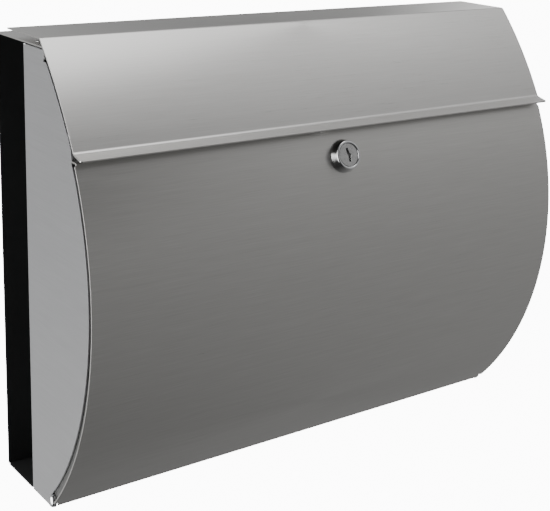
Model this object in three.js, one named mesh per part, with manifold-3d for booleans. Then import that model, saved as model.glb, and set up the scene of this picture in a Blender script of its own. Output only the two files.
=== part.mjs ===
// Wall mounted mailbox: a folded stainless box on a shallow black housing, with a curved
// front door hinged at its bottom edge, a cam lock, and a lift-up flap over the mail slot.
// Millimetres. X runs across the box, Y into the wall, Z up. The origin is on the wall face,
// at the middle of the back panel. Heights below are measured from the bottom edge.

import * as THREE from 'three';
import { mergeVertices } from 'three/addons/utils/BufferGeometryUtils.js';
import Module from 'manifold-3d';

const wasm = await Module();
wasm.setup();

// Driving dimensions
const FRONT_WIDTH = 380;            // across the door and the flap
const FRONT_OVERHANG = 2;           // door and flap stand this far past each side panel
const SIDE_HEIGHT = 296;
const MOUNT_HEIGHT = 148;           // middle of the back panel
const STEEL = 1;                    // stainless sheet
const BLACK_STEEL = 1.2;            // powder-coated sheet
const CLEARANCE = 0.3;              // between pieces that touch
const THROUGH = 10;                 // how far a cut runs past both faces of a sheet

const RECESS_DEPTH = 39;            // black housing, from the wall to the side panels
const RECESS_INSET = 24;            // open recess at each side of the housing

const FRONT_ARC = { y: 82.2, z: 147.7 };   // shared axis of the door and the side panels' edge
const DOOR_RADIUS = 212.2;
const DOOR_BOTTOM = 2.5;
const DOOR_TOP = 237.7;
const DOOR_TOP_HEM = 6;
const DOOR_GROOVE = 7.7;            // side panels' edge behind the door's outer face
const PIVOT = { y: -69.5, z: 5.5 }; // door hinge axis
const PIVOT_RADIUS = 1.75;

const ROOF_TOP = 297.7;
const ROOF_FRONT = -69;
const ROOF_DOWNTURN = 7.7;

const FLAP_TOP = 303.2;
const FLAP_REAR = -20.5;
const FLAP_ARC = { y: 138.8, z: 113.3 };
const FLAP_RADIUS = 280;
const FLAP_CREASE = 242.8;
const LIP_REACH = 9;
const LIP_DROP = 2.3;
const KNUCKLE_RADIUS = 2.2;
const KNUCKLE_BORE = 1.35;
const FLAP_AXIS = { y: -22, z: FLAP_TOP - KNUCKLE_RADIUS };
const FLAP_HINGE_X = 103;

const RAIL_TOP = 253;               // bar between the door's top edge and the mail slot
const RAIL_BOTTOM = 227;
const RAIL_FRONT = -101;
const RAIL_DEPTH = 21;

const LOCK_HEIGHT = 220.9;
const LOCK_COLLAR_RADIUS = 11;
const LOCK_THREAD_RADIUS = 8.6;

const FRONT_HALF = FRONT_WIDTH / 2;
const SIDE_OUTER = FRONT_HALF - FRONT_OVERHANG;
const SIDE_INNER = SIDE_OUTER - STEEL;
const SIDE_RADIUS = DOOR_RADIUS - DOOR_GROOVE;

// Materials
const metal = (color, roughness) => new THREE.MeshStandardMaterial({ color, roughness, metalness: 1 });
const stainless = metal(0xa8a8a6, 0.38);
const chrome = metal(0xd8d8da, 0.08);
const zinc = metal(0xb4b4b0, 0.3);
const black = new THREE.MeshStandardMaterial({ color: 0x0d0d0f, roughness: 0.6, metalness: 0 });
const rubber = new THREE.MeshStandardMaterial({ color: 0x1a1a1a, roughness: 0.9, metalness: 0 });

// Shapes
const axisX = new THREE.Vector3(1, 0, 0);
const axisY = new THREE.Vector3(0, 1, 0);
const axisZ = new THREE.Vector3(0, 0, 1);

// A profile drawn in the Y-Z plane, stretched along X.
function alongX(profile, xFrom, xTo, arcSteps = 12) {
  const options = { depth: xTo - xFrom, bevelEnabled: false, curveSegments: arcSteps };
  const geometry = new THREE.ExtrudeGeometry(profile, options);
  geometry.applyMatrix4(new THREE.Matrix4().makeBasis(axisY, axisZ, axisX));
  return geometry.translate(xFrom, 0, 0);
}

// A profile drawn in the X-Y plane, stretched along Z.
function alongZ(profile, zFrom, zTo) {
  const geometry = new THREE.ExtrudeGeometry(profile, { depth: zTo - zFrom, bevelEnabled: false });
  return geometry.translate(0, 0, zFrom);
}

function outline(points) {
  return new THREE.Shape(points.map(([a, b]) => new THREE.Vector2(a, b)));
}

function block([x0, x1], [y0, y1], [z0, z1]) {
  const geometry = new THREE.BoxGeometry(Math.abs(x1 - x0), Math.abs(y1 - y0), Math.abs(z1 - z0));
  return geometry.translate((x0 + x1) / 2, (y0 + y1) / 2, (z0 + z1) / 2);
}

// A closed section of (radius, height) points, turned about Y.
function turned(points, steps = 24) {
  const closed = [...points, points[0]].map(([r, h]) => new THREE.Vector2(r, h));
  return new THREE.LatheGeometry(closed, steps);
}

// A section that starts and ends on the axis.
function turnedSolid(points, steps = 24) {
  return new THREE.LatheGeometry(points.map(([r, h]) => new THREE.Vector2(r, h)), steps);
}

function rodX(radius, xFrom, xTo, y, z, steps = 20) {
  const geometry = new THREE.CylinderGeometry(radius, radius, Math.abs(xTo - xFrom), steps);
  return geometry.rotateZ(Math.PI / 2).translate((xFrom + xTo) / 2, y, z);
}

function rodY(radius, yFrom, yTo, x, z, steps = 16) {
  const geometry = new THREE.CylinderGeometry(radius, radius, Math.abs(yTo - yFrom), steps);
  return geometry.translate(x, (yFrom + yTo) / 2, z);
}

function rodZ(radius, zFrom, zTo, x, y, steps = 16) {
  const geometry = new THREE.CylinderGeometry(radius, radius, Math.abs(zTo - zFrom), steps);
  return geometry.rotateX(Math.PI / 2).translate(x, y, (zFrom + zTo) / 2);
}

// Joining and cutting
function solid(geometry) {
  const bare = geometry.clone();
  bare.deleteAttribute('normal');
  bare.deleteAttribute('uv');
  const merged = mergeVertices(bare, 1e-4);
  return new wasm.Manifold(new wasm.Mesh({
    numProp: 3,
    vertProperties: new Float32Array(merged.attributes.position.array),
    triVerts: new Uint32Array(merged.index.array),
  }));
}

function combine(base, added = [], removed = []) {
  let result = solid(base);
  for (const geometry of added) result = result.add(solid(geometry));
  for (const geometry of removed) result = result.subtract(solid(geometry));
  const mesh = result.getMesh();
  const geometry = new THREE.BufferGeometry();
  geometry.setAttribute('position', new THREE.BufferAttribute(new Float32Array(mesh.vertProperties), 3));
  geometry.setIndex(new THREE.BufferAttribute(new Uint32Array(mesh.triVerts), 1));
  return geometry;
}

// Everything is built from the bottom edge up, and lowered as one to put the origin mid-wall.
const mailbox = new THREE.Group();
const raised = new THREE.Group();
raised.position.z = -MOUNT_HEIGHT;
mailbox.add(raised);

function piece(name, geometry, material, parent = raised) {
  const mesh = new THREE.Mesh(geometry, material);
  mesh.name = name;
  parent.add(mesh);
  return mesh;
}

const SIDES = [['left', -1], ['right', 1]];
const spanX = (side, a, b) => (side < 0 ? [-b, -a] : [a, b]);

// Where a circle seen along X passes a height on its front side: the angle, and the Y there
const arcAngle = (centre, radius, height) => Math.PI - Math.asin((height - centre.z) / radius);
const arcY = (centre, radius, height) => centre.y - Math.sqrt(radius ** 2 - (height - centre.z) ** 2);

// Black housing: back panel with four holes for the wall screws
const WALL_HOLE = { x: 130, low: 42, high: 254, radius: 3.5 };
const wallHoles = [WALL_HOLE.low, WALL_HOLE.high].flatMap((z) =>
  [-WALL_HOLE.x, WALL_HOLE.x].map((x) => rodY(WALL_HOLE.radius, -THROUGH, THROUGH, x, z)));
piece('back_panel', combine(
  block([-SIDE_OUTER, SIDE_OUTER], [-BLACK_STEEL, 0], [0, SIDE_HEIGHT]), [], wallHoles), black);

// Black floor: as wide as the back in the recess, between the side panels in front of it,
// with an upstand along its front edge and four drain holes
const FLOOR_FRONT = -62;
const FLOOR_UPSTAND = 9;
const FLOOR_REAR = -BLACK_STEEL - CLEARANCE;
const floorSide = SIDE_INNER - CLEARANCE;
const recessFront = -RECESS_DEPTH + CLEARANCE;
const floorPlan = outline([
  [-SIDE_OUTER, FLOOR_REAR], [-SIDE_OUTER, recessFront], [-floorSide, recessFront],
  [-floorSide, FLOOR_FRONT], [floorSide, FLOOR_FRONT], [floorSide, recessFront],
  [SIDE_OUTER, recessFront], [SIDE_OUTER, FLOOR_REAR],
]);
const DRAIN_HOLE = { x: [-120, -60, 60, 120], y: -22, radius: 2.5 };
const drainHoles = DRAIN_HOLE.x.map((x) => rodZ(DRAIN_HOLE.radius, -THROUGH, THROUGH, x, DRAIN_HOLE.y));
const upstand = block([-floorSide, floorSide], [FLOOR_FRONT, FLOOR_FRONT + BLACK_STEEL], [0, FLOOR_UPSTAND]);
piece('floor_panel', combine(alongZ(floorPlan, 0, BLACK_STEEL), [upstand], drainHoles), black);

// Black housing sides: Z sections, spot-welded to the back and riveted to the side panels
const HOUSING_WALL = SIDE_OUTER - RECESS_INSET;
const HOUSING_REAR_TAB = 12;
const HOUSING_FRONT_TAB = 20;
const SIDE_FLANGE_FRONT = -RECESS_DEPTH - STEEL;
const HOUSING_FRONT = SIDE_FLANGE_FRONT - CLEARANCE - BLACK_STEEL;
const RIVET = { head: 2.4, headHeight: 1, shank: 1.2, hole: 1.5, tail: 1.9, tailLength: 0.9 };
const SIDE_RIVET_X = SIDE_OUTER - 12;
const SIDE_RIVET_HEIGHTS = [40, 148, 256];
const sideRivetHoles = (side) => SIDE_RIVET_HEIGHTS.map((z) => rodY(
  RIVET.hole, -RECESS_DEPTH - THROUGH, -RECESS_DEPTH + THROUGH, side * SIDE_RIVET_X, z, 12));
for (const [label, side] of SIDES) {
  const section = outline([
    [HOUSING_WALL, FLOOR_REAR], [HOUSING_WALL, HOUSING_FRONT + BLACK_STEEL],
    [HOUSING_WALL + HOUSING_FRONT_TAB, HOUSING_FRONT + BLACK_STEEL],
    [HOUSING_WALL + HOUSING_FRONT_TAB, HOUSING_FRONT],
    [HOUSING_WALL - BLACK_STEEL, HOUSING_FRONT],
    [HOUSING_WALL - BLACK_STEEL, FLOOR_REAR - BLACK_STEEL],
    [HOUSING_WALL - HOUSING_REAR_TAB, FLOOR_REAR - BLACK_STEEL],
    [HOUSING_WALL - HOUSING_REAR_TAB, FLOOR_REAR],
  ].map(([x, y]) => [side * x, y]));
  const wall = alongZ(section, BLACK_STEEL + CLEARANCE, SIDE_HEIGHT - STEEL);
  piece(`housing_side_${label}`, combine(wall, [], sideRivetHoles(side)), black);
}

// Stainless side panels: a plate with a round front edge, an ear for the door's pivot, and
// flanges folded inwards at the rear and along the top
const EAR_RADIUS = 4.5;
const EAR_START = -Math.PI / 3;
const SIDE_FLANGE = 22;
const TOP_FLANGE = 12;
const SIDE_TOP_FRONT = ROOF_FRONT + STEEL + CLEARANCE;
const ROOF_RIVET_Y = [-48, -60];
const ROOF_RIVET_X = SIDE_OUTER - 7;
// Above the door the front edge follows the flap, up to the roof's folded edge.
const SLOT_EDGE = { radius: FLAP_RADIUS - 6.5, low: 243, high: ROOF_TOP - ROOF_DOWNTURN - 1 };
const SIDE_ARC_TOP = 235;
const earTop = PIVOT.z + EAR_RADIUS;
const pivotBore = (side) => rodX(PIVOT_RADIUS + CLEARANCE,
  side * (SIDE_INNER - THROUGH), side * (SIDE_OUTER + THROUGH), PIVOT.y, PIVOT.z, 16);
const upRivetHole = (x, y) => rodZ(RIVET.hole, SIDE_HEIGHT - THROUGH, SIDE_HEIGHT + THROUGH, x, y, 12);
for (const [label, side] of SIDES) {
  const plate = new THREE.Shape();
  plate.moveTo(-RECESS_DEPTH, 0);
  plate.lineTo(PIVOT.y + EAR_RADIUS / 2 + 1, 0);
  plate.absarc(PIVOT.y, PIVOT.z, EAR_RADIUS, EAR_START, Math.PI / 2 - 2 * Math.PI, true);
  plate.absarc(FRONT_ARC.y, FRONT_ARC.z, SIDE_RADIUS,
    arcAngle(FRONT_ARC, SIDE_RADIUS, earTop + 1), arcAngle(FRONT_ARC, SIDE_RADIUS, SIDE_ARC_TOP), true);
  plate.absarc(FLAP_ARC.y, FLAP_ARC.z, SLOT_EDGE.radius,
    arcAngle(FLAP_ARC, SLOT_EDGE.radius, SLOT_EDGE.low),
    arcAngle(FLAP_ARC, SLOT_EDGE.radius, SLOT_EDGE.high), true);
  plate.lineTo(SIDE_TOP_FRONT, SLOT_EDGE.high);
  plate.lineTo(SIDE_TOP_FRONT, SIDE_HEIGHT);
  plate.lineTo(-RECESS_DEPTH, SIDE_HEIGHT);
  const rearFlange = block(spanX(side, SIDE_OUTER - SIDE_FLANGE, SIDE_OUTER),
    [SIDE_FLANGE_FRONT, -RECESS_DEPTH], [BLACK_STEEL + CLEARANCE, SIDE_HEIGHT - STEEL]);
  const topFlange = block(spanX(side, SIDE_OUTER - TOP_FLANGE, SIDE_OUTER),
    [SIDE_TOP_FRONT, HOUSING_FRONT - CLEARANCE], [SIDE_HEIGHT - STEEL, SIDE_HEIGHT]);
  const topHoles = ROOF_RIVET_Y.map((y) => upRivetHole(side * ROOF_RIVET_X, y));
  piece(`side_panel_${label}`, combine(
    alongX(plate, ...spanX(side, SIDE_INNER, SIDE_OUTER), 14),
    [rearFlange, topFlange], [pivotBore(side), ...sideRivetHoles(side), ...topHoles]), stainless);
}

// Rivets that hold the folded sheets together. The grip is the thickness they clamp.
function rivet(grip) {
  const end = -grip - RIVET.tailLength;
  return turnedSolid([
    [0, end], [RIVET.tail, end], [RIVET.tail, -grip - CLEARANCE],
    [RIVET.shank, -grip - CLEARANCE], [RIVET.shank, CLEARANCE], [RIVET.head, CLEARANCE],
    [RIVET.head * 0.72, CLEARANCE + RIVET.headHeight * 0.75], [0, CLEARANCE + RIVET.headHeight],
  ], 12);
}
const sideGrip = STEEL + CLEARANCE + BLACK_STEEL;
for (const [label, side] of SIDES) {
  SIDE_RIVET_HEIGHTS.forEach((z, index) => piece(`side_rivet_${label}_${index + 1}`,
    rivet(sideGrip).translate(side * SIDE_RIVET_X, -RECESS_DEPTH, z), zinc));
}

// Stainless roof sheet, folded down along its front edge over the side panels' corners
const ROOF_UNDER = ROOF_TOP - STEEL;
const LEAF = { half: 8.4, front: -38, rear: -21, rivetX: 4.5, rivetY: -32, thick: 1 };
const leafUnder = ROOF_TOP + CLEARANCE;
const roofProfile = outline([
  [0, ROOF_TOP], [0, ROOF_UNDER], [ROOF_FRONT + STEEL, ROOF_UNDER],
  [ROOF_FRONT + STEEL, ROOF_TOP - ROOF_DOWNTURN], [ROOF_FRONT, ROOF_TOP - ROOF_DOWNTURN],
  [ROOF_FRONT, ROOF_TOP],
]);
const roofRivetPlaces = SIDES.flatMap(([, side]) => ROOF_RIVET_Y.map((y) => [side * ROOF_RIVET_X, y]));
const leafRivetPlaces = SIDES.flatMap(([, side]) =>
  [-LEAF.rivetX, LEAF.rivetX].map((dx) => [side * FLAP_HINGE_X + dx, LEAF.rivetY]));
const roofHoles = [...roofRivetPlaces, ...leafRivetPlaces].map(([x, y]) => upRivetHole(x, y));
piece('roof_panel', combine(alongX(roofProfile, -SIDE_OUTER, SIDE_OUTER), [], roofHoles), stainless);

const upright = (geometry, x, y, z) => geometry.rotateX(Math.PI / 2).translate(x, y, z);
const roofGrip = ROOF_TOP - SIDE_HEIGHT + STEEL;
roofRivetPlaces.forEach(([x, y], index) => piece(`roof_rivet_${index + 1}`,
  upright(rivet(roofGrip), x, y, ROOF_TOP), zinc));

// Flap hinges: a leaf with a rolled knuckle on the roof, and a pin through each
const KNUCKLE_HALF = 8.4;
const FLAP_KNUCKLE = { from: 8.7, to: 15 };
const PIN = { radius: 1.1, tip: 0.66, half: 15.4, end: 16 };
for (const [label, side] of SIDES) {
  const middle = side * FLAP_HINGE_X;
  const leaf = block([middle - LEAF.half, middle + LEAF.half], [LEAF.front, LEAF.rear],
    [leafUnder, leafUnder + LEAF.thick]);
  const knuckle = rodX(KNUCKLE_RADIUS, middle - KNUCKLE_HALF, middle + KNUCKLE_HALF,
    FLAP_AXIS.y, FLAP_AXIS.z);
  const bore = rodX(KNUCKLE_BORE, middle - KNUCKLE_HALF - THROUGH, middle + KNUCKLE_HALF + THROUGH,
    FLAP_AXIS.y, FLAP_AXIS.z);
  const holes = [-LEAF.rivetX, LEAF.rivetX].map((dx) => upRivetHole(middle + dx, LEAF.rivetY));
  piece(`hinge_leaf_${label}`, combine(leaf, [knuckle], [bore, ...holes]), stainless);
  const pin = turnedSolid([
    [0, -PIN.end], [PIN.tip, -PIN.end], [PIN.radius, -PIN.half],
    [PIN.radius, PIN.half], [PIN.tip, PIN.end], [0, PIN.end],
  ], 16);
  piece(`hinge_pin_${label}`,
    pin.rotateZ(-Math.PI / 2).translate(middle, FLAP_AXIS.y, FLAP_AXIS.z), zinc);
}
const leafGrip = LEAF.thick + CLEARANCE + STEEL;
leafRivetPlaces.forEach(([x, y], index) => piece(`leaf_rivet_${index + 1}`,
  upright(rivet(leafGrip), x, y, leafUnder + LEAF.thick), zinc));

// Slot rail: a folded bar under the mail slot, welded to the side panels. The lock's cam
// turns up behind its front face.
const railRear = RAIL_FRONT + RAIL_DEPTH;
const RAIL_RETURN = 10;
const RAIL_SHEET = 1.2;
const railProfile = outline([
  [RAIL_FRONT, RAIL_BOTTOM], [RAIL_FRONT + RAIL_SHEET, RAIL_BOTTOM],
  [RAIL_FRONT + RAIL_SHEET, RAIL_TOP - RAIL_SHEET], [railRear - RAIL_SHEET, RAIL_TOP - RAIL_SHEET],
  [railRear - RAIL_SHEET, RAIL_TOP - RAIL_RETURN], [railRear, RAIL_TOP - RAIL_RETURN],
  [railRear, RAIL_TOP], [RAIL_FRONT, RAIL_TOP],
]);
const railEnd = SIDE_INNER - CLEARANCE;
const railTabs = SIDES.map(([, side]) => block(
  spanX(side, railEnd - RAIL_SHEET, railEnd), [RAIL_FRONT, railRear], [RAIL_BOTTOM, RAIL_TOP]));
piece('slot_rail', combine(alongX(railProfile, -railEnd, railEnd), railTabs), stainless);

// Rubber buffers on the rail, which the closed flap rests against
const BUFFER = { x: 110, width: 12, low: 245.5, high: 250.5, thick: 1.9 };
for (const [label, side] of SIDES) {
  piece(`flap_buffer_${label}`, block(
    [side * BUFFER.x - BUFFER.width / 2, side * BUFFER.x + BUFFER.width / 2],
    [RAIL_FRONT - CLEARANCE - BUFFER.thick, RAIL_FRONT - CLEARANCE], [BUFFER.low, BUFFER.high]), rubber);
}

// Door pivots: domed pins through the side panels' ears, each held by a push-on cap
const DOOR_FLANGE_OUTER = SIDE_INNER - CLEARANCE;
const PIVOT_HEAD_RADIUS = 4.3;
const PIVOT_HEAD_HEIGHT = 2.3;
const PIVOT_CAP = { radius: 2.7, from: 183.5, to: 185.3 };
const PIVOT_END = 182.5;
for (const [label, side] of SIDES) {
  const headBase = SIDE_OUTER + CLEARANCE;
  const dome = [1, 2, 3, 4].map((step) => {
    const angle = (step / 5) * (Math.PI / 2);
    return [PIVOT_HEAD_RADIUS * Math.cos(angle), headBase + PIVOT_HEAD_HEIGHT * Math.sin(angle)];
  });
  const pin = turnedSolid([
    [0, PIVOT_END], [PIVOT_RADIUS - 0.4, PIVOT_END], [PIVOT_RADIUS, PIVOT_END + 0.6],
    [PIVOT_RADIUS, headBase], [PIVOT_HEAD_RADIUS, headBase], ...dome,
    [0, headBase + PIVOT_HEAD_HEIGHT],
  ], 20);
  piece(`door_pivot_${label}`,
    pin.rotateZ(-side * Math.PI / 2).translate(0, PIVOT.y, PIVOT.z), chrome);
  const cap = turned([
    [PIVOT_RADIUS + CLEARANCE, PIVOT_CAP.from], [PIVOT_CAP.radius - 0.4, PIVOT_CAP.from],
    [PIVOT_CAP.radius, PIVOT_CAP.from + 0.4], [PIVOT_CAP.radius, PIVOT_CAP.to],
    [PIVOT_RADIUS + CLEARANCE, PIVOT_CAP.to],
  ], 16);
  piece(`pivot_cap_${label}`,
    cap.rotateZ(-side * Math.PI / 2).translate(0, PIVOT.y, PIVOT.z), zinc);
}

// Flap: one folded sheet with a flared lip, and rolled knuckles at its rear edge
const flapUnder = FLAP_TOP - STEEL;
const flapInside = FLAP_RADIUS - STEEL;
const creaseY = arcY(FLAP_ARC, FLAP_RADIUS, FLAP_CREASE);
const lipLength = Math.hypot(LIP_REACH, LIP_DROP);
const lipUnder = { y: (STEEL * LIP_DROP) / lipLength, z: (-STEEL * LIP_REACH) / lipLength };
const creaseUnder = FLAP_CREASE - 0.8 * STEEL;
const flapProfile = new THREE.Shape();
flapProfile.moveTo(FLAP_REAR, FLAP_TOP);
flapProfile.absarc(FLAP_ARC.y, FLAP_ARC.z, FLAP_RADIUS,
  arcAngle(FLAP_ARC, FLAP_RADIUS, FLAP_TOP), arcAngle(FLAP_ARC, FLAP_RADIUS, FLAP_CREASE), false);
flapProfile.lineTo(creaseY - LIP_REACH, FLAP_CREASE - LIP_DROP);
flapProfile.lineTo(creaseY - LIP_REACH + lipUnder.y, FLAP_CREASE - LIP_DROP + lipUnder.z);
flapProfile.absarc(FLAP_ARC.y, FLAP_ARC.z, flapInside,
  arcAngle(FLAP_ARC, flapInside, creaseUnder), arcAngle(FLAP_ARC, flapInside, flapUnder), true);
flapProfile.lineTo(FLAP_REAR, flapUnder);
const flapKnuckles = [];
const flapCuts = [];
const NOTCH = { half: KNUCKLE_HALF + CLEARANCE, front: FLAP_AXIS.y - 3.2 };
for (const [, side] of SIDES) {
  const middle = side * FLAP_HINGE_X;
  flapCuts.push(block([middle - NOTCH.half, middle + NOTCH.half], [NOTCH.front, 0],
    [FLAP_TOP - THROUGH, FLAP_TOP + THROUGH]));
  for (const end of [-1, 1]) {
    const from = middle + end * FLAP_KNUCKLE.from;
    const to = middle + end * FLAP_KNUCKLE.to;
    flapKnuckles.push(rodX(KNUCKLE_RADIUS, from, to, FLAP_AXIS.y, FLAP_AXIS.z));
    flapCuts.push(rodX(KNUCKLE_BORE, from - 1, to, FLAP_AXIS.y, FLAP_AXIS.z));
    flapCuts.push(rodX(KNUCKLE_BORE, from, to + 1, FLAP_AXIS.y, FLAP_AXIS.z));
  }
}
piece('flap_panel', combine(
  alongX(flapProfile, -FRONT_HALF, FRONT_HALF, 6), flapKnuckles, flapCuts), stainless);

// Door: a rolled sheet with its top edge folded back. Its bottom corners stop short, to clear
// the side panels as it swings.
const doorInside = DOOR_RADIUS - STEEL;
const doorTopY = arcY(FRONT_ARC, DOOR_RADIUS, DOOR_TOP);
const doorProfile = new THREE.Shape();
doorProfile.absarc(FRONT_ARC.y, FRONT_ARC.z, DOOR_RADIUS,
  arcAngle(FRONT_ARC, DOOR_RADIUS, DOOR_BOTTOM), arcAngle(FRONT_ARC, DOOR_RADIUS, DOOR_TOP), true);
doorProfile.lineTo(doorTopY + DOOR_TOP_HEM, DOOR_TOP);
doorProfile.lineTo(doorTopY + DOOR_TOP_HEM, DOOR_TOP - STEEL);
doorProfile.absarc(FRONT_ARC.y, FRONT_ARC.z, doorInside,
  arcAngle(FRONT_ARC, doorInside, DOOR_TOP - STEEL), arcAngle(FRONT_ARC, doorInside, DOOR_BOTTOM), false);
const DOOR_CORNER = { inside: 186, top: 6.3 };
const doorCorners = SIDES.map(([, side]) => block(spanX(side, DOOR_CORNER.inside, FRONT_HALF + 1),
  [PIVOT.y - 2 * THROUGH, PIVOT.y + 2 * THROUGH], [0, DOOR_CORNER.top]));
const DOOR_HEM_HALF = 189;
const hemEndFront = arcY(FRONT_ARC, doorInside, DOOR_TOP - 2 * STEEL) + 0.5;
const hemEnds = SIDES.map(([, side]) => block(spanX(side, DOOR_HEM_HALF, FRONT_HALF + 1),
  [hemEndFront, hemEndFront + 2 * THROUGH], [DOOR_TOP - 4 * STEEL, DOOR_TOP + STEEL]));

// The lock stands square to the door's curved face.
const LOCK_TILT = Math.asin((LOCK_HEIGHT - FRONT_ARC.z) / DOOR_RADIUS);
const lock = new THREE.Group();
lock.position.set(0, arcY(FRONT_ARC, DOOR_RADIUS, LOCK_HEIGHT), LOCK_HEIGHT);
lock.rotation.x = Math.PI - LOCK_TILT;
raised.add(lock);
lock.updateMatrix();
const LOCK_HOLE_RADIUS = LOCK_THREAD_RADIUS + 0.4;
const lockHole = new THREE.CylinderGeometry(LOCK_HOLE_RADIUS, LOCK_HOLE_RADIUS, 2 * THROUGH, 32)
  .applyMatrix4(lock.matrix);
piece('door_panel', combine(alongX(doorProfile, -FRONT_HALF, FRONT_HALF, 14), [],
  [...doorCorners, ...hemEnds, lockHole]), stainless);

// Door flanges: plates inside the side panels that stiffen the door and carry its pivots
const FLANGE_TOP = 234;
const flangeOuter = doorInside - CLEARANCE;
const FLANGE_RISE = 11;             // the inner edge's axis stands higher, so the plate tapers
const FLANGE_TAPER = 12.3;
const flangeInnerArc = { y: FRONT_ARC.y, z: FRONT_ARC.z + FLANGE_RISE };
const flangeInner = flangeOuter - FLANGE_TAPER;
const lugRadius = flangeOuter - Math.hypot(PIVOT.y - FRONT_ARC.y, PIVOT.z - FRONT_ARC.z);
const lugRear = PIVOT.y + lugRadius;
const lugTop = flangeInnerArc.z - Math.sqrt(flangeInner ** 2 - (lugRear - flangeInnerArc.y) ** 2);
const pivotDirection = Math.atan2(PIVOT.z - FRONT_ARC.z, PIVOT.y - FRONT_ARC.y);
for (const [label, side] of SIDES) {
  const flange = new THREE.Shape();
  flange.absarc(PIVOT.y, PIVOT.z, lugRadius, 0, pivotDirection, true);
  flange.absarc(FRONT_ARC.y, FRONT_ARC.z, flangeOuter,
    pivotDirection + 2 * Math.PI, arcAngle(FRONT_ARC, flangeOuter, FLANGE_TOP), true);
  flange.absarc(flangeInnerArc.y, flangeInnerArc.z, flangeInner,
    arcAngle(flangeInnerArc, flangeInner, FLANGE_TOP), arcAngle(flangeInnerArc, flangeInner, lugTop), false);
  piece(`door_flange_${label}`, combine(
    alongX(flange, ...spanX(side, DOOR_FLANGE_OUTER - STEEL, DOOR_FLANGE_OUTER), 12),
    [], [pivotBore(side)]), stainless);
}

// Cam lock. Its parts are turned about the lock's own axis, which points out of the door.
const COLLAR_HEIGHT = 6.4;
const COLLAR_FACE_RADIUS = 9.1;
const PLUG_HEAD_RADIUS = 7.5;
const PLUG_RADIUS = 6;
const PLUG_SHOULDER = 1;
const THREAD_END = -14.5;
const RUNNING_GAP = 0.25;
piece('lock_housing', turned([
  [PLUG_RADIUS + RUNNING_GAP, THREAD_END], [LOCK_THREAD_RADIUS - 0.6, THREAD_END],
  [LOCK_THREAD_RADIUS, THREAD_END + 0.6], [LOCK_THREAD_RADIUS, CLEARANCE],
  [LOCK_COLLAR_RADIUS, CLEARANCE], [LOCK_COLLAR_RADIUS, 1.4],
  [COLLAR_FACE_RADIUS + 0.3, COLLAR_HEIGHT - 0.4], [COLLAR_FACE_RADIUS, COLLAR_HEIGHT],
  [PLUG_HEAD_RADIUS + 0.7, COLLAR_HEIGHT], [PLUG_HEAD_RADIUS + RUNNING_GAP, COLLAR_HEIGHT - 0.7],
  [PLUG_HEAD_RADIUS + RUNNING_GAP, PLUG_SHOULDER], [PLUG_RADIUS + RUNNING_GAP, PLUG_SHOULDER],
], 40), chrome, lock);

// Washer and hexagon nut that clamp the lock behind the door. The washer is dished to the curve.
const WASHER = { radius: 11.5, from: -3.1, to: -2.1 };
const NUT = { corner: 12.2, from: -7.4, to: -3.4 };
const threadBore = LOCK_THREAD_RADIUS + CLEARANCE;
piece('lock_washer', turned([
  [threadBore, WASHER.from], [WASHER.radius, WASHER.from],
  [WASHER.radius, WASHER.to], [threadBore, WASHER.to],
], 24), zinc, lock);
const nutBody = new THREE.CylinderGeometry(NUT.corner, NUT.corner, NUT.to - NUT.from, 6)
  .translate(0, (NUT.from + NUT.to) / 2, 0);
const nutBore = new THREE.CylinderGeometry(threadBore, threadBore, 2 * THROUGH, 24);
piece('lock_nut', combine(nutBody, [], [nutBore]), zinc, lock);

// Plug with a stepped keyway in its face and a square tail for the cam
const PLUG_FACE = COLLAR_HEIGHT - 0.5;
const PLUG_END = THREAD_END - 0.4;
const TAIL_END = -18;
const TAIL_SIDE = 6;
const KEYWAY_DEPTH = 4;
const keywayOutline = outline([
  [-0.3, -4.6], [1.2, -4.6], [1.3, -1], [2.1, -0.7], [2.1, 0.6], [1.2, 0.8], [0.6, 1.6],
  [0.2, 4.6], [-1.4, 4.6], [-1.3, 1.2], [-0.4, -0.4],
]);
const keyway = new THREE.ExtrudeGeometry(keywayOutline, { depth: KEYWAY_DEPTH + 1, bevelEnabled: false })
  .rotateX(-Math.PI / 2).translate(0, PLUG_FACE - KEYWAY_DEPTH, 0);
const plugBody = turnedSolid([
  [0, PLUG_END], [PLUG_RADIUS, PLUG_END], [PLUG_RADIUS, PLUG_SHOULDER + CLEARANCE],
  [PLUG_HEAD_RADIUS, PLUG_SHOULDER + CLEARANCE], [PLUG_HEAD_RADIUS, PLUG_FACE - 0.4],
  [PLUG_HEAD_RADIUS - 0.4, PLUG_FACE], [0, PLUG_FACE],
], 32);
const plugTail = new THREE.BoxGeometry(TAIL_SIDE, PLUG_END - TAIL_END + 1, TAIL_SIDE)
  .translate(0, (PLUG_END + TAIL_END + 1) / 2, 0);
const SCREW = { shank: 1.6, hole: 1.8, head: 3.8, headHeight: 2.2, depth: 5 };
const tailHole = new THREE.CylinderGeometry(SCREW.hole, SCREW.hole, 2 * SCREW.depth + 1, 16)
  .translate(0, TAIL_END, 0);
piece('lock_plug', combine(plugBody, [plugTail], [keyway, tailHole]), chrome, lock);

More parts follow.
